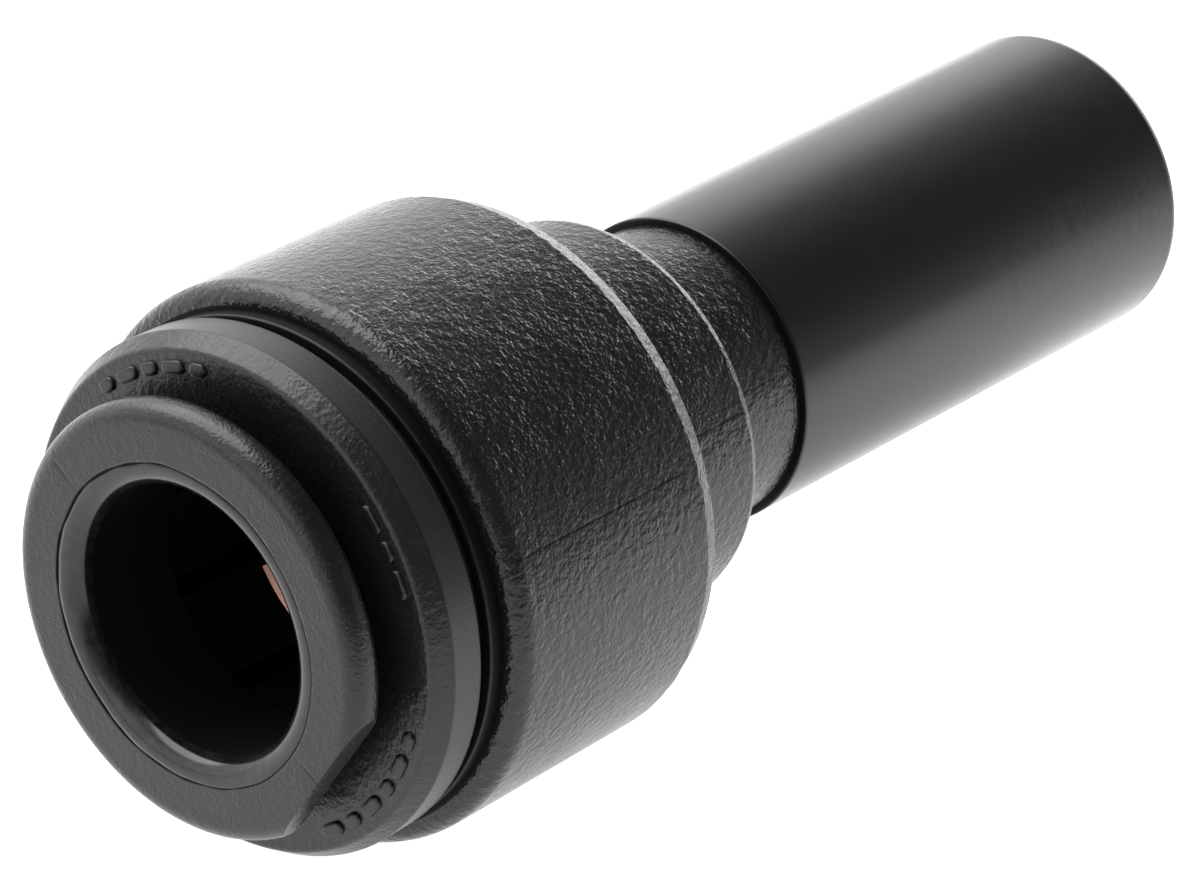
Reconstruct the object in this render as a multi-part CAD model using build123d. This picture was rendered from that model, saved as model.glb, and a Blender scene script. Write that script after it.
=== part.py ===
from build123d import *
import os

# A straight push-in reducer for pneumatic tube: a 12 mm plain stem that plugs into another
# push-in socket, and a 10 mm tube socket with a release collet.
#
# Frame: millimetres, +X along the axis from the socket mouth to the stem's free end, +Z up.
# The origin is on the axis at the stem's shoulder, where a mating socket's mouth stops.

# Standard interfaces
stem_r = 6.0
stem_length = 22.9
tube_bore_r = 5.1
flow_bore_r = 4.0

# Outside of the body moulding, from the shoulder towards the mouth
neck_r = 5.72
collar_rear_x = -4.7
collar_rear_r = 7.58
collar_front_r = 7.66
barrel_rear_x = -10.3
barrel_rear_r = 10.46
barrel_front_x = -21.2
barrel_front_r = 10.61
spigot_front_x = -21.75
spigot_r = 9.68
barrel_front_round = 0.5
rear_edge_round = 0.1
barrel_chamfer = (0.7, 0.26)
collar_chamfer = (0.31, 0.11)
stem_end_round = 0.45
bore_chamfer = 0.3

# Inside of the body moulding
tube_stop_x = -5.6
seal_back_x = -12.7
seal_bore_r = 7.0
washer_back_x = -15.0
washer_bore_r = 8.4
cap_seat_end_x = -16.0
cap_seat_r = 9.23
snap_x = -19.6
snap_height = 0.3
snap_half_width = 0.4
snap_gap = 0.03

# End cap
cap_front_x = -24.57
cap_bevel_x = -23.79
cap_rim_rear_x = -22.36
cap_face_r = 9.39
cap_rim_front_r = 9.85
cap_rim_rear_r = 9.8
cap_skirt_r = 9.2
cap_skirt_end_x = -16.02
cap_throat_r = 6.55
cap_cone_start_x = -22.6
cap_cone_end_x = -20.0
cap_cone_end_r = 7.55
cap_throat_chamfer = 0.25
cap_face_round = 0.25
cap_bevel_round = 0.2
cap_rim_round = 0.05

# Release collet, at rest where the fingers meet the cap's cone
collet_front_x = -26.95
flange_back_x = -25.7
flange_r = 8.2
flange_round = 0.7
flange_back_round = 0.3
lead_in_round = 0.75
collet_sleeve_r = 6.3
cone_clearance = 0.08
finger_head_r = 7.2
finger_tip_r = 6.6
finger_tip_x = -17.2
finger_tip_chamfer = 0.5
finger_count = 8
finger_slot_width = 0.8
finger_slot_start_x = -22.1
finger_bore_r = 5.3
sleeve_bore_end_x = -22.3
finger_bore_start_x = -22.1
first_finger_angle = -45.0
flange_flat_distance = 7.4
flange_flat_angle = -146.0

# Grip teeth: straight strips moulded into the fingers, leaning inwards and away from the mouth
tooth_root_x = -18.0
tooth_tip_x = -17.45
tooth_tip_r = 4.7
tooth_thickness = 0.35
tooth_anchor_r = 6.1
tooth_arc = 30.0

# Seal and its backing washer
washer_r = 8.36
washer_hole_r = 5.3
o_ring_section_r = 1.1
o_ring_inner_r = 4.8


def turned(corners, rounds=()):
    """Turn a closed outline of (x, radius) corners about X; rounds holds (corner, radius) pairs."""
    outline = make_face(Polyline(*corners, close=True))
    for corner, size in rounds:
        vertex = outline.vertices().sort_by_distance((*corner, 0))[0]
        outline = fillet(vertex, size)
    return revolve(outline, Axis.X)


def rear_chamfer(front, rear, chamfer):
    """The two corners of a long, low chamfer at the rear end of a tapered cylinder."""
    length, depth = chamfer
    share = length / (rear[0] - front[0])
    start_r = rear[1] + (front[1] - rear[1]) * share
    return [(rear[0] - length, start_r), (rear[0], rear[1] - depth)]


def snap_outline(radius, height, half_width):
    """Corners of a snap bead or its groove: a low trapezium on a cylinder, mouth side first."""
    return [
        (snap_x - half_width - height, radius),
        (snap_x - half_width, radius + height),
        (snap_x + half_width, radius + height),
        (snap_x + half_width + height, radius),
    ]


def body():
    """Barrel, collar, neck and stem in one moulding, bored right through."""
    spigot_front = (spigot_front_x, spigot_r)
    barrel_front = (barrel_front_x, barrel_front_r)
    barrel_rear = rear_chamfer(barrel_front, (barrel_rear_x, barrel_rear_r), barrel_chamfer)
    collar_front = (barrel_rear_x, collar_front_r)
    collar_rear = rear_chamfer(collar_front, (collar_rear_x, collar_rear_r), collar_chamfer)
    stem_end = (stem_length, stem_r)
    outside = [
        spigot_front,
        (barrel_front_x, spigot_r),
        barrel_front,
        *barrel_rear,
        collar_front,
        *collar_rear,
        (collar_rear_x, neck_r),
        (0, neck_r),
        (0, stem_r),
        stem_end,
    ]
    inside = [
        (stem_length, flow_bore_r + bore_chamfer),
        (stem_length - bore_chamfer, flow_bore_r),
        (tube_stop_x, flow_bore_r),
        (tube_stop_x, tube_bore_r),
        (seal_back_x, tube_bore_r),
        (seal_back_x, seal_bore_r),
        (washer_back_x, seal_bore_r),
        (washer_back_x, washer_bore_r),
        (cap_seat_end_x, washer_bore_r),
        (cap_seat_end_x, cap_seat_r),
    ]
    groove = snap_outline(cap_seat_r, snap_height, snap_half_width + snap_gap)
    mouth = [(spigot_front_x, cap_seat_r)]
    rounds = [
        (barrel_front, barrel_front_round),
        (barrel_rear[1], rear_edge_round),
        (collar_rear[1], rear_edge_round),
        (stem_end, stem_end_round),
    ]
    return turned(outside + inside + groove[::-1] + mouth, rounds)


def end_cap():
    """Snap-in cap: a rim outside the body, a skirt inside it and a cone that closes the fingers."""
    outside = [
        (cap_front_x, cap_face_r),
        (cap_bevel_x, cap_rim_front_r),
        (cap_rim_rear_x, cap_rim_rear_r),
        (cap_rim_rear_x, cap_skirt_r),
    ]
    bead = snap_outline(cap_skirt_r, snap_height, snap_half_width)
    inside = [
        (cap_skirt_end_x, cap_skirt_r),
        (cap_skirt_end_x, cap_cone_end_r),
        (cap_cone_end_x, cap_cone_end_r),
        (cap_cone_start_x, cap_throat_r),
        (cap_front_x + cap_throat_chamfer, cap_throat_r),
        (cap_front_x, cap_throat_r + cap_throat_chamfer),
    ]
    rounds = [
        ((cap_front_x, cap_face_r), cap_face_round),
        ((cap_bevel_x, cap_rim_front_r), cap_bevel_round),
        ((cap_rim_rear_x, cap_rim_rear_r), cap_rim_round),
    ]
    return turned(outside + bead + inside, rounds)


def tooth(angle):
    """One metal tooth: a curved strip anchored in the finger, with its free edge in the tube's way."""
    lean = Vector(tooth_tip_x - tooth_root_x, tooth_tip_r - finger_bore_r).normalized()
    back = Vector(-lean.Y, lean.X) * tooth_thickness
    tip = Vector(tooth_tip_x, tooth_tip_r)
    anchor = tip + lean * ((tooth_anchor_r - tooth_tip_r) / lean.Y)
    corners = [tip, tip + back, anchor + back, anchor]
    strip = revolve(make_face(Polyline(*corners, close=True)), Axis.X, tooth_arc)
    return strip.rotate(Axis.X, angle - tooth_arc / 2)


def collet(teeth):
    """Release collet: flange to press on, bored sleeve, and sprung fingers with conical heads."""
    cone_slope = (cap_cone_end_r - cap_throat_r) / (cap_cone_end_x - cap_cone_start_x)
    gap_at_sleeve = cap_throat_r - collet_sleeve_r - cone_clearance
    cone_start_x = cap_cone_start_x - gap_at_sleeve / cone_slope
    cone_end_x = cone_start_x + (finger_head_r - collet_sleeve_r) / cone_slope
    flange_front = (collet_front_x, flange_r)
    lead_in = (collet_front_x, tube_bore_r)
    corners = [
        lead_in,
        flange_front,
        (flange_back_x, flange_r),
        (flange_back_x, collet_sleeve_r),
        (cone_start_x, collet_sleeve_r),
        (cone_end_x, finger_head_r),
        (finger_tip_x - finger_tip_chamfer, finger_head_r),
        (finger_tip_x, finger_tip_r),
        (finger_tip_x, finger_bore_r),
        (finger_bore_start_x, finger_bore_r),
        (sleeve_bore_end_x, tube_bore_r),
    ]
    rounds = [
        (flange_front, flange_round),
        (lead_in, lead_in_round),
        ((flange_back_x, flange_r), flange_back_round),
    ]
    solid = turned(corners, rounds)
    for index in range(finger_count):
        angle = first_finger_angle + 360 / finger_count * (index + 0.5)
        slot = Box(
            finger_tip_x - finger_slot_start_x + 1,
            finger_head_r + 1,
            finger_slot_width,
            align=(Align.MIN, Align.MIN, Align.CENTER),
        )
        slot = slot.moved(Location((finger_slot_start_x, 0, 0))).rotate(Axis.X, angle)
        solid -= slot
    flat = Box(
        flange_back_x - collet_front_x,
        flange_r,
        2 * flange_r,
        align=(Align.MIN, Align.MIN, Align.CENTER),
    )
    flat = flat.moved(Location((collet_front_x, flange_flat_distance, 0)))
    solid -= flat.rotate(Axis.X, flange_flat_angle)
    for blade in teeth:
        solid -= blade
    return solid


def spacer_washer():
    """Flat ring between the end cap's skirt and the seal."""
    corners = [
        (cap_seat_end_x, washer_hole_r),
        (cap_seat_end_x, washer_r),
        (washer_back_x, washer_r),
        (washer_back_x, washer_hole_r),
    ]
    return turned(corners)


def o_ring():
    """Round-section seal between the washer and the back of its bore."""
    middle_x = (washer_back_x + seal_back_x) / 2
    centre_r = o_ring_inner_r + o_ring_section_r
    section = Circle(o_ring_section_r).moved(Location((middle_x, centre_r, 0)))
    return revolve(section, Axis.X)


def main():
    """Write one STEP file per piece."""
    pitch = 360 / finger_count
    teeth = [tooth(first_finger_angle + pitch * index) for index in range(finger_count)]
    pieces = {
        "body": body(),
        "end_cap": end_cap(),
        "collet": collet(teeth),
        "spacer_washer": spacer_washer(),
        "o_ring": o_ring(),
    }
    for index, blade in enumerate(teeth):
        pieces[f"grip_tooth_{index + 1}"] = blade
    os.makedirs("parts", exist_ok=True)
    for name, solid in pieces.items():
        solid.label = name
        export_step(solid, f"parts/{name}.step")


main()
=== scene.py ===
import math

import bmesh
import bpy
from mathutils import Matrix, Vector, noise


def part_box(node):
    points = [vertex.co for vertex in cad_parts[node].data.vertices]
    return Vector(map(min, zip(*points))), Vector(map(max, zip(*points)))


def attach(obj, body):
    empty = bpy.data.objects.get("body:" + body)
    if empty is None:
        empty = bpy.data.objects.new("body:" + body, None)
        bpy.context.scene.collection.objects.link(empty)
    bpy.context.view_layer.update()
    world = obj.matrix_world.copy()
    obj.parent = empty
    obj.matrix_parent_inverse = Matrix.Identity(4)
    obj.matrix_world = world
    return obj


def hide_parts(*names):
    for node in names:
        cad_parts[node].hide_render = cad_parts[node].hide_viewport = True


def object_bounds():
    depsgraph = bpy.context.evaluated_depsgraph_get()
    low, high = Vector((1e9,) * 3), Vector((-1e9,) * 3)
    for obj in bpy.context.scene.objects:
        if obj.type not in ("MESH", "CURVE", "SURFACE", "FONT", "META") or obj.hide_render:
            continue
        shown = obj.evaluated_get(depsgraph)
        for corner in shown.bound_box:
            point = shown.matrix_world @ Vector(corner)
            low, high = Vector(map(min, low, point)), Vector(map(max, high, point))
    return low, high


# A black push-in tube reducer: a plain stem, a collar and barrel in one moulding, a snap-in end
# cap and a release collet with metal teeth. Lengths are in millimetres until MM turns them into
# metres. Outlines are (x, radius) sections, turned about the X axis; angles about +X run from +Y
# towards +Z, in degrees.
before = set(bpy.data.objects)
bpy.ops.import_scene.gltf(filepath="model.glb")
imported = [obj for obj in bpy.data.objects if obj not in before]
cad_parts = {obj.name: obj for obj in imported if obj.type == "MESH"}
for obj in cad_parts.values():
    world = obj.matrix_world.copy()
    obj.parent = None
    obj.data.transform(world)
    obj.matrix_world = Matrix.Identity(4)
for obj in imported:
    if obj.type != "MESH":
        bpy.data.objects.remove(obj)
cad_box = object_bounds()

MM = 0.001

# Corners of the CAD nodes' boxes, for their ends along X
body_low, body_high = (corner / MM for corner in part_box("body"))
cap_low, cap_high = (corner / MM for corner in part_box("end_cap"))
collet_low, collet_high = (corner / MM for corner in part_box("collet"))
washer_low, washer_high = (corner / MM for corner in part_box("spacer_washer"))

# Body moulding
STEM_R = 6.0
STEM_END = body_high.x
FLOW_R = 4.0
BORE_R = 5.1
NECK_R = 5.72
BORE_CHAMFER = 0.3
COLLAR_REAR = -4.7
COLLAR_REAR_R = 7.58
COLLAR_FRONT_R = 7.66
BARREL_REAR = -10.3
BARREL_REAR_R = 10.46
BARREL_CHAMFER = (0.7, 0.26)
COLLAR_CHAMFER = (0.31, 0.11)
BARREL_FRONT = -21.2
BARREL_FRONT_R = 10.61
FRONT_ROUND = 0.75
SPIGOT_FRONT = body_low.x
SPIGOT_R = 9.68
SPIGOT_LIP = 0.12
# The neck's last stretch before the stem, given the darker black of painted shade.
SHOULDER_SHADE_BAND = 0.1
STEM_END_ROUND = 0.45
FINE_ROUND = 0.06
SPIGOT_INNER_ROUND = 0.08
CHAMFER_ROUNDS = (0.12, 0.1)
COLLAR_ROOT_ROUND = 0.15
NECK_ROOT_ROUND = 0.1
TUBE_STOP = -5.6
SEAL_BACK = -12.7
SEAL_R = 7.0
WASHER_SEAT_R = 8.4
CAP_SEAT_R = 9.23
SNAP_X = -19.6
SNAP_HEIGHT = 0.3
SNAP_HALF = 0.4
SNAP_GAP = 0.03

# End cap
CAP_FRONT = cap_low.x
CAP_BEVEL = -23.79
CAP_RIM_REAR = -22.36
CAP_FACE_R = 9.39
CAP_RIM_FRONT_R = 9.85
CAP_RIM_REAR_R = 9.8
CAP_SKIRT_R = 9.2
CAP_SKIRT_END = cap_high.x
CAP_THROAT_R = 6.55
CAP_CONE_START = -22.6
CAP_CONE_END = -20.0
CAP_CONE_R = 7.55
CAP_THROAT_CHAMFER = 0.25
CAP_FACE_ROUND = 0.25
CAP_BEVEL_ROUND = 0.2

# Collet
COLLET_FRONT = collet_low.x
FLANGE_BACK = -25.7
FLANGE_R = 8.2
FLANGE_ROUND = 0.7
LEAD_IN_ROUND = 0.75
FLANGE_BACK_ROUND = 0.3
SLEEVE_R = 6.3
SLEEVE_CONE = -22.81
HEAD_R = 7.2
HEAD_CONE_END = -20.47
HEAD_END = -17.7
TIP = collet_high.x
TIP_R = 6.6
GUIDE_END = -22.3
FINGER_BORE = -22.1
FINGER_BORE_R = 5.3
FINGERS = 8
SLOT_WIDTH = 0.8
FIRST_SLOT = -22.5
FLAT_DISTANCE = 7.4
FLAT_ANGLE = -146.0
FLAT_BREAK = 0.06
FINGER_COLUMNS = 36
FINGER_MARGIN = 0.9

# Small moulding marks and scuffs. A ragged edge is (where it is along X, how far it wanders).
COLUMNS = 360
ON_LINE = 0.01
EDGE_ROUND = 0.05
PARTING_ANGLES = (161.0, -19.0)
PARTING_HALF_WIDTH = 0.06
PARTING_DEPTH = 0.004
PARTING_RUNS = ((-20.6, -11.2), (-9.4, -5.1), (-3.6, -0.2))
PARTING_MEAN_R = 9.0
RAGGED_EDGES = ((BARREL_REAR - BARREL_CHAMFER[0], 0.1), (COLLAR_REAR - COLLAR_CHAMFER[0], 0.05))
RAGGED_REACH = 0.11
RAGGED_SCALE = 2.2
FROST_START = STEM_END - 17.2
FROST_FULL = STEM_END - 3.2
FROST_HEIGHTS = ((-0.6, 0.6), (3.4, 1.6))
WITNESS_R = 6.05
WITNESS_HALF_WIDTH = 0.055
WITNESS_DEPTH = 0.08
WITNESS_THICK_ANGLE = -8.0
WITNESS_WANDER = 0.05
COLLET_LINE_ANGLES = (36.5, -147.6)
COLLET_LINE_DEPTH = 0.015
COLLET_LINE_RUN = (6.2, 7.45)
COLLET_LINE_HALF = 0.35
MARK_ANGLES = (50, 58, 66, 74, 82, 141, 149, 157, 197, 205, 213, 221, 229, 237)
MARK_R = 8.74
MARK_LENGTHS = (0.8, 1.1)
MARK_HALF_WIDTH = 0.27
MARK_PROFILE = ((1.0, -0.03), (1.0, 0.04), (0.93, 0.09), (0.78, 0.12), (0.5, 0.13), (0.2, 0.13))
MARK_TURNS = 20

# Finishes, stage, light and camera. A light is a direction (azimuth from +X towards +Y, elevation)
# and its stops, (cosine of the angle from that direction, level). CLIP is in metres.
COPPER = (0.72, 0.41, 0.33, 1)
DULL_COPPER = (0.52, 0.26, 0.2, 1)
FLOOR_DROP = 0.05
FLOOR_RADIUS = 3000
# The floor's colour and glow below make a painted pool of light round the object, bright on one side
# and fading to a painted grey shade far away.
FLOOR_MIDDLE = (15, -10, 0)
FLOOR_BRIGHT_SIDE = (0.342, 0.94, 0)
FLOOR_POOL_REACH = (20, 350)
FLOOR_FAR_SHADE = (0.25, 0.25, 0.25, 1)
FLOOR_PALE = (0.5, 0.5, 0.5, 1)
FLOOR_PALEST = (0.53, 0.53, 0.53, 1)
SWEEP = (112, 20), (
    (-0.25, 0.17),
    (-0.1, 0.27),
    (0.02, 0.4),
    (0.14, 0.57),
    (0.25, 0.94),
    (0.32, 1.38),
    (0.38, 1.65),
    (1, 1.65),
)
SOFT_BOX = (95, 60), ((0.82, 0), (0.906, 3.8))
PANEL = (8, 4), ((0.84, 0), (0.91, 3.4))
HORIZON = (-45, -10), ((0.79, 0), (0.87, 0.08), (0.94, 0.25), (0.985, 0.5))
OVERHEAD_DIM = {"From Min": 0.45, "From Max": 0.75, "To Min": 1.0, "To Max": 0.55}
CAMERA_DIRECTION = (-49.45, 26.27)
CAMERA_AIM = (-5.34, -0.59, -0.77)
CAMERA_DISTANCE = 275.23
LENS = 225
SENSOR = 36
CLIP = (0.005, 20)


# Lathe work

def arc(before, corner, after, size):
    """Points of a rounded corner, tangent to both of its sides."""
    corner = Vector(corner)
    if size == 0:
        return [corner]
    side_a = (Vector(before) - corner).normalized()
    side_b = (Vector(after) - corner).normalized()
    half = side_a.angle(side_b) / 2
    centre = corner + (side_a + side_b).normalized() * size / math.sin(half)
    start = corner + side_a * size / math.tan(half) - centre
    end = corner + side_b * size / math.tan(half) - centre
    turn = start.angle(end)
    count = 2 + round(min(size, 0.8) * 8)
    points = []
    for step in range(count + 1):
        share = step / count
        bend = start * math.sin(turn * (1 - share)) + end * math.sin(turn * share)
        points.append(centre + bend / math.sin(turn))
    return points


def side_shares(length, guard, longest):
    """Where a straight side gets rows: close to both ends, and evenly between them."""
    if length < 4 * guard:
        return [0.5] if length > 2 * guard else []
    inner = length - 2 * guard
    count = max(1, math.ceil(inner / longest))
    return [(guard + inner * step / count) / length for step in range(count + 1)]


def outline(corners, guard=0.08, longest=0.9):
    """Rows of (x, r, zone, edge, hard) round a closed section. A corner is (x, r, round, zone
    after). A corner with no round is hard unless both of its sides are in line."""
    count = len(corners)
    arcs = []
    for index, (x, r, size, _) in enumerate(corners):
        before = corners[index - 1][:2]
        after = corners[(index + 1) % count][:2]
        arcs.append(arc(before, (x, r), after, size))
    rows = []
    for index, points in enumerate(arcs):
        zone = corners[index][3]
        before = Vector(corners[index][:2]) - Vector(corners[index - 1][:2])
        after = Vector(corners[(index + 1) % count][:2]) - Vector(corners[index][:2])
        outer = before.x * after.y - before.y * after.x < -1e-6 and len(points) > 1
        hard = len(points) == 1 and before.angle(after) > 0.1
        rows += [(point.x, point.y, zone, float(outer), hard) for point in points]
        start, end = points[-1], arcs[(index + 1) % count][0]
        for share in side_shares((end - start).length, guard, longest):
            point = start.lerp(end, share)
            rows.append((point.x, point.y, zone, 0.0, False))
    return rows


def columns(count, lines=(), half_width=0.25):
    """Angles of a lathe's columns, with three close columns at each marked line."""
    step = 360 / count
    angles = [index * step for index in range(count)]
    for line in lines:
        line %= 360
        angles = [a for a in angles if abs((a - line + 180) % 360 - 180) > half_width + step * 0.4]
        angles += [(line + offset) % 360 for offset in (-half_width, 0, half_width)]
    return sorted(angles)


def off_line(angle, lines):
    """Degrees from an angle to the nearest of the lines."""
    return min(abs((angle - line + 180) % 360 - 180) for line in lines)


def lathe(name, rows, angles, materials, place, skip=None, line=lambda x, r, angle: 0.0):
    """A turned mesh. place moves each (x, r, angle); skip leaves out faces by row and column; line
    says how dark a hairline mark is there."""
    mesh = bpy.data.meshes.new(name)
    width = len(angles)
    points = []
    edges = []
    line_marks = []
    for x, r, _, edge, _ in rows:
        for angle in angles:
            px, pr, turn = place(x, r, angle)
            turn = math.radians(turn)
            points.append((px * MM, pr * MM * math.cos(turn), pr * MM * math.sin(turn)))
            edges.append(edge)
            line_marks.append(line(x, r, angle))
    faces = []
    zones = []
    for row in range(len(rows)):
        ahead = (row + 1) % len(rows)
        for column in range(width):
            if skip and skip(row, column):
                continue
            beside = (column + 1) % width
            faces.append((
                row * width + column,
                row * width + beside,
                ahead * width + beside,
                ahead * width + column,
            ))
            zones.append(rows[row][2])
    mesh.from_pydata(points, [], faces)
    for material in materials:
        mesh.materials.append(material)
    mesh.polygons.foreach_set("material_index", zones)
    mesh.attributes.new("edge", "FLOAT", "POINT").data.foreach_set("value", edges)
    mesh.attributes.new("line", "FLOAT", "POINT").data.foreach_set("value", line_marks)
    hard = {row for row, values in enumerate(rows) if values[4]}
    for edge in mesh.edges:
        start, end = (vertex // width for vertex in edge.vertices)
        edge.use_edge_sharp = start == end and start in hard
    return mesh


def show(name, mesh, body, slot, *nodes):
    """Adds a finished piece: smooth, with weighted normals, riding on its body, in place of nodes."""
    mesh.shade_smooth()
    piece = bpy.data.objects.new(name, mesh)
    bpy.context.scene.collection.objects.link(piece)
    piece.modifiers.new("weighted_normals", "WEIGHTED_NORMAL").keep_sharp = True
    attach(piece, body)
    if nodes:
        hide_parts(*nodes)


def snap(radius, half_width):
    """Corners of a snap bead or groove on a cylinder, mouth side first."""
    return [
        (SNAP_X - half_width - SNAP_HEIGHT, radius),
        (SNAP_X - half_width, radius + SNAP_HEIGHT),
        (SNAP_X + half_width, radius + SNAP_HEIGHT),
        (SNAP_X + half_width + SNAP_HEIGHT, radius),
    ]


# Materials

class Nodes:
    """Short calls to build one material's node tree."""

    def __init__(self, name):
        self.material = bpy.data.materials.new(name)
        self.material.use_nodes = True
        self.tree = self.material.node_tree
        self.shader = self.tree.nodes["Principled BSDF"]
        self.place = self.add("ShaderNodeTexCoord").outputs["Object"]

    def add(self, kind, **settings):
        node = self.tree.nodes.new(kind)
        for key, value in settings.items():
            setattr(node, key, value)
        return node

    def feed(self, socket, value):
        if isinstance(value, bpy.types.NodeSocket):
            self.tree.links.new(value, socket)
        else:
            socket.default_value = value

    def noise(self, cell, detail=2.0, rough=0.5, stretch=(1, 1, 1)):
        """Noise with cells of that many millimetres, drawn out by stretch."""
        mapping = self.add("ShaderNodeMapping")
        self.feed(mapping.inputs["Vector"], self.place)
        mapping.inputs["Scale"].default_value = [1 / (cell * MM * s) for s in stretch]
        texture = self.add("ShaderNodeTexNoise")
        self.feed(texture.inputs["Vector"], mapping.outputs["Vector"])
        texture.inputs["Scale"].default_value = 1.0
        texture.inputs["Detail"].default_value = detail
        texture.inputs["Roughness"].default_value = rough
        return texture.outputs["Fac"]

    def range(self, value, low, high, out_low=0.0, out_high=1.0, smooth=True):
        node = self.add("ShaderNodeMapRange")
        node.interpolation_type = "SMOOTHSTEP" if smooth else "LINEAR"
        self.feed(node.inputs["Value"], value)
        for key, number in zip(("From Min", "From Max", "To Min", "To Max"),
                               (low, high, out_low, out_high)):
            node.inputs[key].default_value = number
        return node.outputs["Result"]

    def math(self, operation, a, b=0.0, c=0.0):
        node = self.add("ShaderNodeMath", operation=operation)
        for socket, value in zip(node.inputs, (a, b, c)):
            self.feed(socket, value)
        return node.outputs[0]

    def mix(self, share, a, b):
        node = self.add("ShaderNodeMix", data_type="RGBA")
        self.feed(node.inputs["Factor"], share)
        self.feed(node.inputs["A"], a)
        self.feed(node.inputs["B"], b)
        return node.outputs["Result"]

    def along(self, axis):
        """Place along one axis, in metres."""
        parts = self.add("ShaderNodeSeparateXYZ")
        self.feed(parts.inputs[0], self.place)
        return parts.outputs[axis]

    def attribute(self, name):
        return self.add("ShaderNodeAttribute", attribute_name=name).outputs["Fac"]

    def bump(self, height, distance):
        """Bump of that many millimetres from a height of 0 to 1."""
        node = self.add("ShaderNodeBump")
        node.inputs["Strength"].default_value = 1.0
        node.inputs["Distance"].default_value = distance * MM
        self.feed(node.inputs["Height"], height)
        return node.outputs["Normal"]


def grey(level):
    return (level, level, level * 1.03, 1.0)


def spark_grain(name, level, roughness, depth, cell=0.12, waves=1.6):
    """Black acetal with a glossy spark-eroded grain: small rounded bumps on shallow waves, a few
    deeper pits, and dark hairlines where the mould's halves met."""
    n = Nodes(name)
    bumps = n.noise(cell, 1.0, 0.4)
    broad = n.noise(cell * 2.6, 1.0, 0.5)
    pits = n.range(n.noise(cell * 0.8, 1.0, 0.5), 0.66, 0.8)
    calm = n.range(n.noise(1.6, 2.0, 0.5), 0.35, 0.65, 0.6, 1.3)
    height = n.math("MULTIPLY_ADD", broad, waves, n.math("MULTIPLY", bumps, calm))
    height = n.math("MULTIPLY_ADD", pits, -0.4, height)
    worn = n.math("MULTIPLY", n.attribute("edge"), n.range(n.noise(0.3, 3.0, 0.6), 0.5, 0.75))
    dull = n.mix(n.range(n.noise(6.0, 3.0, 0.6), 0.3, 0.7), grey(level * 0.8), grey(level * 1.25))
    n.feed(n.shader.inputs["Base Color"], n.mix(worn, dull, grey(level * 2)))
    rough = n.math("MULTIPLY_ADD", n.noise(0.5, 3.0, 0.6), 0.12, roughness - 0.06)
    n.feed(n.shader.inputs["Roughness"], n.math("MULTIPLY_ADD", pits, 0.2, rough))
    gloss = n.math("MULTIPLY_ADD", n.attribute("line"), -0.48, 0.5)
    n.feed(n.shader.inputs["Specular IOR Level"], gloss)
    n.feed(n.shader.inputs["Normal"], n.bump(height, depth))
    return n.material


def stem_frost(n):
    """Fine scuffs round the stem, low on its sides and denser towards its free end."""
    streaks = n.noise(0.4, 1.5, 0.5, stretch=(0.4, 2.2, 2.2))
    near_end = n.range(n.along("X"), FROST_START * MM, FROST_FULL * MM, smooth=False)
    patches = n.math("ADD", n.noise(2.6, 2.0, 0.6), -0.06)
    patches = n.math("MULTIPLY_ADD", near_end, 0.3, patches)
    frost = n.math("MULTIPLY", n.range(streaks, 0.35, 0.7), n.range(patches, 0.48, 0.74))
    low, high = (n.range(n.along("Z"), start * MM, end * MM) for start, end in FROST_HEIGHTS)
    return n.math("MULTIPLY", frost, n.math("MULTIPLY", low, high))


def moulded_gloss(name, level, roughness, ripple=0.0015, gloss=0.5, scuffs=0.0):
    """Smooth black acetal with faint flow ripples, polished edges and, on the stem, fine scuffs."""
    n = Nodes(name)
    n.shader.inputs["Specular IOR Level"].default_value = gloss
    worn = n.math("MULTIPLY", n.attribute("edge"), n.range(n.noise(0.4, 3.0, 0.6), 0.35, 0.7))
    wide = n.range(n.noise(5.0, 3.0, 0.55), 0.3, 0.7)
    dull = n.mix(wide, grey(level * 0.85), grey(level * 1.2))
    n.feed(n.shader.inputs["Base Color"], n.mix(worn, dull, grey(level * 3)))
    rough = n.math("MULTIPLY_ADD", n.noise(0.8, 4.0, 0.6), 0.08, roughness - 0.04)
    height = n.noise(1.4, 2.0, 0.5)
    if scuffs:
        frost = stem_frost(n)
        rough = n.math("MULTIPLY_ADD", frost, scuffs, rough)
        height = n.math("MULTIPLY_ADD", frost, 0.15 * scuffs, height)
    n.feed(n.shader.inputs["Roughness"], rough)
    n.feed(n.shader.inputs["Normal"], n.bump(height, ripple))
    return n.material


def satin(name, level, roughness, depth, gloss=0.5):
    """Black acetal off a finely blasted mould: an even, very shallow tooth."""
    n = Nodes(name)
    n.shader.inputs["Specular IOR Level"].default_value = gloss
    tooth = n.noise(0.12, 2.0, 0.6)
    wide = n.range(n.noise(3.0, 3.0, 0.6), 0.3, 0.7)
    n.feed(n.shader.inputs["Base Color"], n.mix(wide, grey(level * 0.8), grey(level * 1.25)))
    n.feed(n.shader.inputs["Roughness"], n.math("MULTIPLY_ADD", tooth, 0.15, roughness - 0.07))
    n.feed(n.shader.inputs["Normal"], n.bump(tooth, depth))
    return n.material


def seal_rubber():
    """Black nitrile with a faint bloom and a fine moulded skin."""
    n = Nodes("seal_rubber")
    bloom = n.range(n.noise(1.5, 4.0, 0.6), 0.4, 0.75)
    n.feed(n.shader.inputs["Base Color"], n.mix(bloom, grey(0.014), grey(0.03)))
    n.feed(n.shader.inputs["Roughness"], n.math("MULTIPLY_ADD", bloom, 0.12, 0.5))
    n.feed(n.shader.inputs["Normal"], n.bump(n.noise(0.12, 3.0, 0.6), 0.006))
    return n.material


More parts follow.
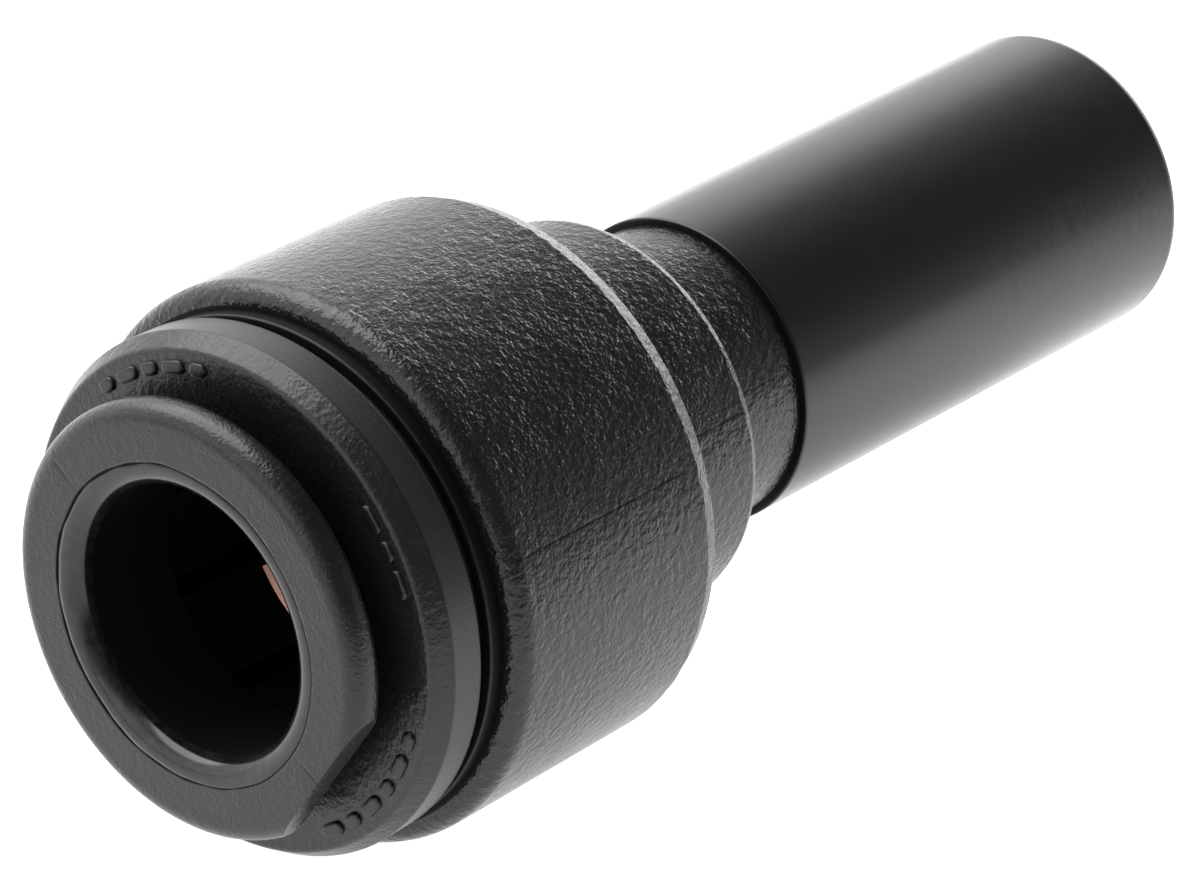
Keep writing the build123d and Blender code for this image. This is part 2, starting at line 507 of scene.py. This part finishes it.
def tooth_metal():
    """Rolled metal strip with a copper tint, marks drawn out along X and dulled patches."""
    n = Nodes("tooth_metal")
    drawn = n.noise(0.12, 3.0, 0.6, stretch=(4.0, 1.0, 1.0))
    tarnish = n.range(n.noise(0.8, 3.0, 0.6), 0.4, 0.7)
    n.feed(n.shader.inputs["Base Color"], n.mix(tarnish, COPPER, DULL_COPPER))
    n.shader.inputs["Metallic"].default_value = 1.0
    n.feed(n.shader.inputs["Roughness"], n.math("MULTIPLY_ADD", drawn, 0.2, 0.25))
    n.feed(n.shader.inputs["Normal"], n.bump(drawn, 0.004))
    return n.material


# Pieces

def rounded_all(points, size, zone):
    return [(x, r, size, zone) for x, r in points]


def rear_chamfer(front, rear, chamfer, zone):
    """Both corners of a long, low chamfer at the rear end of a tapered cylinder."""
    length, depth = chamfer
    start_r = rear[1] + (front[1] - rear[1]) * length / (rear[0] - front[0])
    return [
        (rear[0] - length, start_r, CHAMFER_ROUNDS[0], zone),
        (rear[0], rear[1] - depth, CHAMFER_ROUNDS[1], zone),
    ]


def body_shell():
    """Barrel, collar, neck and stem, with the parting line of its two mould halves."""
    grain, stem, seat, bore, chamfer, gap_shade = range(6)
    materials = [
        spark_grain("barrel_grain", 0.007, 0.21, 0.023, waves=2.2),
        moulded_gloss("stem_gloss", 0.002, 0.23, scuffs=0.17),
        moulded_gloss("body_seats", 0.005, 0.4, gloss=0.25),
        moulded_gloss("body_bore", 0.004, 0.25),
        spark_grain("rear_chamfers", 0.012, 0.24, 0.04, cell=0.14),
        # Painted shade: the gap between the cap rim and the barrel, and the band at the stem's
        # shoulder, get a darker, duller black than the barrel.
        satin("gap_painted_shade", 0.004, 0.5, 0.006, gloss=0.15),
    ]
    groove = snap(CAP_SEAT_R, SNAP_HALF + SNAP_GAP)[::-1]
    barrel = (BARREL_FRONT, BARREL_FRONT_R), (BARREL_REAR, BARREL_REAR_R)
    collar = (BARREL_REAR, COLLAR_FRONT_R), (COLLAR_REAR, COLLAR_REAR_R)
    corners = [
        (SPIGOT_FRONT, SPIGOT_R, FINE_ROUND, seat),
        (SPIGOT_FRONT + SPIGOT_LIP, SPIGOT_R, 0, gap_shade),
        (BARREL_FRONT, SPIGOT_R, 0, gap_shade),
        (BARREL_FRONT, BARREL_FRONT_R, FRONT_ROUND, grain),
        *rear_chamfer(*barrel, BARREL_CHAMFER, chamfer),
        (BARREL_REAR, COLLAR_FRONT_R, COLLAR_ROOT_ROUND, grain),
        *rear_chamfer(*collar, COLLAR_CHAMFER, chamfer),
        (COLLAR_REAR, NECK_R, NECK_ROOT_ROUND, grain),
        (-SHOULDER_SHADE_BAND, NECK_R, 0, gap_shade),
        (0, NECK_R, 0, gap_shade),
        (0, STEM_R, FINE_ROUND, stem),
        (STEM_END, STEM_R, STEM_END_ROUND, stem),
        (STEM_END, FLOW_R + BORE_CHAMFER, EDGE_ROUND, bore),
        (STEM_END - BORE_CHAMFER, FLOW_R, EDGE_ROUND, bore),
        (TUBE_STOP, FLOW_R, EDGE_ROUND, bore),
        (TUBE_STOP, BORE_R, EDGE_ROUND, bore),
        (SEAL_BACK, BORE_R, EDGE_ROUND, seat),
        (SEAL_BACK, SEAL_R, EDGE_ROUND, seat),
        (washer_high.x, SEAL_R, EDGE_ROUND, seat),
        (washer_high.x, WASHER_SEAT_R, EDGE_ROUND, seat),
        (washer_low.x, WASHER_SEAT_R, EDGE_ROUND, seat),
        (washer_low.x, CAP_SEAT_R, EDGE_ROUND, seat),
        *rounded_all(groove, EDGE_ROUND, seat),
        (SPIGOT_FRONT, CAP_SEAT_R, SPIGOT_INNER_ROUND, gap_shade),
    ]

    def on_parting(x, r, angle):
        run = [1 for start, end in PARTING_RUNS if start < x < end]
        return run and r > NECK_R - 0.1 and off_line(angle, PARTING_ANGLES) < ON_LINE

    def place(x, r, angle):
        turn = math.radians(angle)
        for start, depth in RAGGED_EDGES:
            if r > COLLAR_REAR_R - 1 and abs(x - start) < RAGGED_REACH:
                across = math.cos(turn) * r * RAGGED_SCALE
                up = math.sin(turn) * r * RAGGED_SCALE
                x += depth * noise.noise((across, up, start))
        return x, r - PARTING_DEPTH * bool(on_parting(x, r, angle)), angle

    def line(x, r, angle):
        if not on_parting(x, r, angle):
            return 0.0
        darkness = 1.1 + 0.9 * noise.noise((x * 0.6, r, 3.1))
        return min(1.0, max(0.5, darkness))

    half_width = math.degrees(PARTING_HALF_WIDTH / PARTING_MEAN_R)
    angles = columns(COLUMNS, PARTING_ANGLES, half_width)
    mesh = lathe("body_shell", outline(corners), angles, materials, place, line=line)
    show("body_shell", mesh, "housing", "body_plastic", "body")


def cap_shell():
    """End cap: grained face and bevel, satin rim, and a skirt snapped into the barrel."""
    grain, rim, seat = range(3)
    materials = [
        spark_grain("cap_grain", 0.008, 0.3, 0.018),
        satin("cap_rim", 0.006, 0.32, 0.008),
        # Painted light: the cap's recessed faces behind its rim and inside it get a lighter black
        # than its face, as if light reached into the gap.
        satin("cap_seats_painted_light", 0.02, 0.45, 0.006),
    ]
    corners = [
        (CAP_FRONT, CAP_FACE_R, CAP_FACE_ROUND, grain),
        (CAP_BEVEL, CAP_RIM_FRONT_R, CAP_BEVEL_ROUND, rim),
        (CAP_RIM_REAR, CAP_RIM_REAR_R, FINE_ROUND, seat),
        (CAP_RIM_REAR, CAP_SKIRT_R, EDGE_ROUND, seat),
        *rounded_all(snap(CAP_SKIRT_R, SNAP_HALF), EDGE_ROUND, seat),
        (CAP_SKIRT_END, CAP_SKIRT_R, EDGE_ROUND, seat),
        (CAP_SKIRT_END, CAP_CONE_R, EDGE_ROUND, seat),
        (CAP_CONE_END, CAP_CONE_R, EDGE_ROUND, seat),
        (CAP_CONE_START, CAP_THROAT_R, EDGE_ROUND, seat),
        (CAP_FRONT + CAP_THROAT_CHAMFER, CAP_THROAT_R, EDGE_ROUND, seat),
        (CAP_FRONT, CAP_THROAT_R + CAP_THROAT_CHAMFER, EDGE_ROUND, grain),
    ]

    def place(x, r, angle):
        return x, r, angle

    mesh = lathe("cap_shell", outline(corners), columns(COLUMNS), materials, place)
    show("cap_shell", mesh, "housing", "cap_plastic", "end_cap")
    cap_marks(materials[rim])


def cap_marks(material):
    """Short raised dashes on the cap's face, like those that index a mould. The profile's rows are
    (share of the half width, height)."""
    turns = MARK_TURNS
    mesh = bpy.data.meshes.new("cap_marks")
    points = []
    faces = []
    for index, angle in enumerate(MARK_ANGLES):
        first = len(points)
        half_length = MARK_LENGTHS[index % 2] / 2
        for share, height in MARK_PROFILE:
            for step in range(turns):
                turn = 2 * math.pi * (step + 0.5) / turns
                core = math.copysign(half_length - MARK_HALF_WIDTH, math.cos(turn))
                along = core + MARK_HALF_WIDTH * share * math.cos(turn)
                r = MARK_R + MARK_HALF_WIDTH * share * math.sin(turn)
                spot = math.radians(angle) + along / MARK_R
                x = CAP_FRONT - height
                points.append((x * MM, r * MM * math.cos(spot), r * MM * math.sin(spot)))
        for row in range(len(MARK_PROFILE) - 1):
            for step in range(turns):
                beside = (step + 1) % turns
                low = first + row * turns
                faces.append((low + step, low + beside, low + turns + beside, low + turns + step))
        top = first + (len(MARK_PROFILE) - 1) * turns
        faces.append(tuple(range(top, top + turns)))
    mesh.from_pydata(points, [], faces)
    mesh.materials.append(material)
    work = bmesh.new()
    work.from_mesh(mesh)
    bmesh.ops.recalc_face_normals(work, faces=work.faces[:])
    work.to_mesh(mesh)
    work.free()
    show("cap_marks", mesh, "housing", "cap_plastic")


def collet_shell():
    """Release collet: rounded flange with one flat, smooth lead-in, and slotted fingers."""
    grain, smooth, bore, groove_shade, inner = range(5)
    materials = [
        spark_grain("collet_grain", 0.006, 0.27, 0.018, cell=0.11, waves=1.0),
        moulded_gloss("collet_lead_in", 0.006, 0.15, ripple=0.004),
        moulded_gloss("collet_bore", 0.004, 0.45, gloss=0.2),
        # Painted shade: the witness groove gets a darker, duller black than the face round it.
        satin("witness_groove_shade", 0.002, 0.6, 0.01, gloss=0.1),
        # Painted shade: the fingers, their ends and the slot walls deep in the bore get a darker,
        # duller black.
        satin("finger_painted_shade", 0.005, 0.55, 0.006, gloss=0.1),
    ]
    cone_slope = (HEAD_R - SLEEVE_R) / (HEAD_CONE_END - SLEEVE_CONE)
    cone_r = SLEEVE_R + (FINGER_BORE - SLEEVE_CONE) * cone_slope
    corners = [
        (COLLET_FRONT, BORE_R, LEAD_IN_ROUND, smooth),
        (COLLET_FRONT, WITNESS_R - WITNESS_HALF_WIDTH, 0, groove_shade),
        (COLLET_FRONT, WITNESS_R, 0, groove_shade),
        (COLLET_FRONT, WITNESS_R + WITNESS_HALF_WIDTH, 0, grain),
        (COLLET_FRONT, FLANGE_R, FLANGE_ROUND, grain),
        (FLANGE_BACK, FLANGE_R, FLANGE_BACK_ROUND, grain),
        (FLANGE_BACK, SLEEVE_R, EDGE_ROUND, bore),
        (SLEEVE_CONE, SLEEVE_R, EDGE_ROUND, bore),
        (FINGER_BORE, cone_r, 0, bore),
        (HEAD_CONE_END, HEAD_R, EDGE_ROUND, bore),
        (HEAD_END, HEAD_R, EDGE_ROUND, bore),
        (TIP, TIP_R, EDGE_ROUND, inner),
        (TIP, FINGER_BORE_R, EDGE_ROUND, inner),
        (FINGER_BORE, FINGER_BORE_R, 0, inner),
        (GUIDE_END, BORE_R, 0, bore),
    ]
    rows = outline(corners)
    slots = [FIRST_SLOT + 360 / FINGERS * index for index in range(FINGERS)]
    half_slot = math.degrees(SLOT_WIDTH / 2 / SLEEVE_R)
    span = 360 / FINGERS - 2 * half_slot - 2 * FINGER_MARGIN
    angles = []
    for slot in slots:
        angles += [slot + half_slot * share for share in (-1, -0.5, 0, 0.5, 1)]
        start = slot + half_slot + FINGER_MARGIN
        angles += [start + span * index / FINGER_COLUMNS for index in range(FINGER_COLUMNS + 1)]
    for line in COLLET_LINE_ANGLES:
        angles = [a for a in angles if off_line(a, (line,)) > COLLET_LINE_HALF + 0.4]
        angles += [line - COLLET_LINE_HALF, line, line + COLLET_LINE_HALF]
    angles = sorted(a % 360 for a in angles)

    def in_fingers(x):
        return x > FINGER_BORE - 0.01

    def on_face(x):
        return abs(x - COLLET_FRONT) < 1e-6

    def on_mark(x, r, angle):
        in_run = COLLET_LINE_RUN[0] < r < COLLET_LINE_RUN[1]
        return on_face(x) and in_run and off_line(angle, COLLET_LINE_ANGLES) < ON_LINE

    def place(x, r, angle):
        if on_face(x) and abs(r - WITNESS_R) < 2 * WITNESS_HALF_WIDTH:
            turn = math.radians(angle)
            across, up = math.cos(turn), math.sin(turn)
            strength = math.cos(math.radians(angle - WITNESS_THICK_ANGLE) / 2) ** 2
            strength = 0.12 + 0.9 * strength ** 1.5
            uneven = 0.9 + 1.1 * noise.noise((across * 6.6, up * 6.6, 5))
            strength = max(0.06, strength * uneven)
            if abs(r - WITNESS_R) < ON_LINE:
                x += WITNESS_DEPTH * strength
            else:
                r = WITNESS_R + (r - WITNESS_R) * min(1.3, 0.3 + strength)
            r += WITNESS_WANDER * noise.noise((across * 3.3, up * 3.3, 9))
        elif on_mark(x, r, angle):
            x += COLLET_LINE_DEPTH
        elif in_fingers(x):
            for slot in slots:
                off = (angle - slot + 180) % 360 - 180
                if abs(off) < half_slot * 1.01:
                    angle = slot + off / half_slot * math.degrees(math.asin(SLOT_WIDTH / 2 / r))
        return x, r, angle

    in_slot = [off_line(a, slots) < half_slot * 1.01 for a in angles]
    width = len(angles)
    past = [in_fingers(row[0]) for row in rows]

    def skip(row, column):
        across = in_slot[column] and in_slot[(column + 1) % width]
        return across and past[row] and past[(row + 1) % len(rows)]

    mesh = lathe("collet_shell", rows, angles, materials, place, skip,
                 line=lambda x, r, angle: 0.6 * on_mark(x, r, angle))
    work = bmesh.new()
    work.from_mesh(mesh)
    work.verts.ensure_lookup_table()
    finger_rows = [row for row, deep in enumerate(past) if deep]
    for column in range(width):
        beside = (column + 1) % width
        if in_slot[column] and in_slot[beside]:
            first, last = finger_rows[0] * width, finger_rows[-1] * width
            ring = (first + column, first + beside, last + beside, last + column)
            end = work.faces.new([work.verts[i] for i in ring[::-1]])
            end.material_index = inner
        elif in_slot[column] != in_slot[beside]:
            edge_column = column if in_slot[column] else beside
            ring = [work.verts[row * width + edge_column] for row in finger_rows]
            wall = work.faces.new(ring if in_slot[column] else ring[::-1])
            wall.material_index = inner
    loose = [v for v in work.verts if not v.link_faces]
    bmesh.ops.delete(work, geom=loose, context="VERTS")
    cut_flat(work, grain)
    work.to_mesh(mesh)
    work.free()
    show("collet_shell", mesh, "collet", "collet_plastic", "collet")


def cut_flat(work, zone):
    """Cuts the flange's flat and breaks its edge."""
    turn = math.radians(FLAT_ANGLE)
    normal = Vector((0, math.cos(turn), math.sin(turn)))
    cut = bmesh.ops.bisect_plane(
        work,
        geom=work.verts[:] + work.edges[:] + work.faces[:],
        dist=1e-7,
        plane_co=normal * FLAT_DISTANCE * MM,
        plane_no=normal,
        clear_outer=True,
    )
    rim = [g for g in cut["geom_cut"] if isinstance(g, bmesh.types.BMEdge)]
    filled = bmesh.ops.edgeloop_fill(work, edges=rim, mat_nr=zone)
    edges = {edge for face in filled["faces"] for edge in face.edges}
    bmesh.ops.bevel(
        work,
        geom=list(edges),
        offset=FLAT_BREAK * MM,
        segments=2,
        profile=0.5,
        affect="EDGES",
        clamp_overlap=True,
        material=zone,
    )
    bmesh.ops.recalc_face_normals(work, faces=work.faces[:])


def cad_finishes():
    """Materials for the CAD nodes that stay as they are."""
    gloss = moulded_gloss("washer_gloss", 0.010, 0.25)
    rubber = seal_rubber()
    metal = tooth_metal()
    for name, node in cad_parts.items():
        finish = metal if name.startswith("grip_tooth") else None
        finish = {"spacer_washer": gloss, "o_ring": rubber}.get(name, finish)
        if finish:
            node.data.materials.clear()
            node.data.materials.append(finish)


# Stage, light and camera

def stage_floor():
    """A wide pale floor that glows a little, as a lit sweep does under a product. Its glow and colour
    are a painted pool of light: brightest near the object and on one side, fading to a painted grey
    shade far away.
    """
    n = Nodes("floor_painted_pool")
    mapping = n.add("ShaderNodeMapping", vector_type="POINT")
    n.feed(mapping.inputs["Vector"], n.place)
    mapping.inputs["Location"].default_value = [-place * MM for place in FLOOR_MIDDLE]
    far = n.add("ShaderNodeVectorMath", operation="LENGTH")
    n.feed(far.inputs[0], mapping.outputs["Vector"])
    behind = n.add("ShaderNodeVectorMath", operation="DOT_PRODUCT")
    n.feed(behind.inputs[0], mapping.outputs["Vector"])
    behind.inputs[1].default_value = FLOOR_BRIGHT_SIDE
    # Painted pool of light: glow and colour fall off with distance from the floor's middle, more
    # slowly on the bright side.
    reach = n.math("MULTIPLY_ADD", behind.outputs["Value"], -0.9, far.outputs["Value"])
    light_pool = n.range(reach, FLOOR_POOL_REACH[0] * MM, FLOOR_POOL_REACH[1] * MM, smooth=False)
    light_pool = n.math("POWER", n.math("SUBTRACT", 1.0, light_pool), 2.2)
    pale = n.mix(n.noise(40.0), FLOOR_PALE, FLOOR_PALEST)
    n.feed(n.shader.inputs["Base Color"], n.mix(light_pool, FLOOR_FAR_SHADE, pale))
    n.shader.inputs["Roughness"].default_value = 0.9
    n.shader.inputs["Specular IOR Level"].default_value = 0.0
    n.shader.inputs["Emission Color"].default_value = (1, 1, 1, 1)
    n.feed(n.shader.inputs["Emission Strength"], n.math("MULTIPLY_ADD", light_pool, 1.0, 0.15))
    mesh = bpy.data.meshes.new("floor")
    work = bmesh.new()
    bmesh.ops.create_circle(work, cap_ends=True, segments=96, radius=FLOOR_RADIUS * MM)
    height = cad_box[0].z - FLOOR_DROP * MM
    bmesh.ops.translate(work, verts=work.verts[:], vec=(0, 0, height))
    work.to_mesh(mesh)
    work.free()
    mesh.materials.append(n.material)
    floor = bpy.data.objects.new("floor", mesh)
    bpy.context.scene.collection.objects.link(floor)


def studio_light():
    """A bright sweep behind the object, dim overhead and on the camera's side, with a high soft box,
    a low panel beyond the stem's end and a faint glow below the horizon on the camera's right."""
    world = bpy.data.worlds.new("studio")
    bpy.context.scene.world = world
    world.use_nodes = True
    tree = world.node_tree
    link = tree.links.new
    direction = tree.nodes.new("ShaderNodeTexCoord").outputs["Generated"]

    def glow(towards, stops):
        """Light by the cosine of the angle from a direction; stops are (cosine, level) pairs."""
        turn, rise = (math.radians(angle) for angle in towards)
        aim = (math.cos(turn) * math.cos(rise), math.sin(turn) * math.cos(rise), math.sin(rise))
        near = tree.nodes.new("ShaderNodeVectorMath")
        near.operation = "DOT_PRODUCT"
        link(direction, near.inputs[0])
        near.inputs[1].default_value = aim
        share = tree.nodes.new("ShaderNodeMath")
        share.operation = "MULTIPLY_ADD"
        link(near.outputs["Value"], share.inputs[0])
        share.inputs[1].default_value = 0.5
        share.inputs[2].default_value = 0.5
        ramp = tree.nodes.new("ShaderNodeValToRGB")
        link(share.outputs[0], ramp.inputs["Fac"])
        points = ramp.color_ramp.elements
        while len(points) < len(stops):
            points.new(0.5)
        for point, (cosine, level) in zip(points, stops):
            point.position = cosine / 2 + 0.5
            point.color = (level, level, level, 1)
        return ramp.outputs["Color"]

    def add(first, second):
        node = tree.nodes.new("ShaderNodeVectorMath")
        node.operation = "ADD"
        link(first, node.inputs[0])
        link(second, node.inputs[1])
        return node.outputs[0]

    parts = tree.nodes.new("ShaderNodeSeparateXYZ")
    link(direction, parts.inputs[0])
    overhead = tree.nodes.new("ShaderNodeMapRange")
    link(parts.outputs["Z"], overhead.inputs["Value"])
    for key, value in OVERHEAD_DIM.items():
        overhead.inputs[key].default_value = value
    dimmed = tree.nodes.new("ShaderNodeVectorMath")
    dimmed.operation = "SCALE"
    link(glow(*SWEEP), dimmed.inputs[0])
    link(overhead.outputs["Result"], dimmed.inputs["Scale"])
    background = tree.nodes["Background"]
    background.inputs["Strength"].default_value = 1.0
    high = add(dimmed.outputs[0], glow(*SOFT_BOX))
    low = add(glow(*PANEL), glow(*HORIZON))
    link(add(high, low), background.inputs["Color"])


def camera():
    """A long lens on the socket's side, a little above the axis."""
    azimuth, elevation = (math.radians(angle) for angle in CAMERA_DIRECTION)
    view = Vector((
        -math.sin(azimuth) * math.cos(elevation),
        math.cos(azimuth) * math.cos(elevation),
        -math.sin(elevation),
    ))
    aim = Vector(CAMERA_AIM) * MM
    data = bpy.data.cameras.new("camera")
    data.lens = LENS
    data.sensor_width = SENSOR
    data.clip_start, data.clip_end = CLIP
    piece = bpy.data.objects.new("camera", data)
    bpy.context.scene.collection.objects.link(piece)
    piece.location = aim - view * CAMERA_DISTANCE * MM
    piece.rotation_euler = view.to_track_quat("-Z", "Y").to_euler()
    bpy.context.scene.camera = piece


body_shell()
cap_shell()
collet_shell()
cad_finishes()
stage_floor()
studio_light()
camera()
bpy.context.scene.view_settings.view_transform = "Standard"
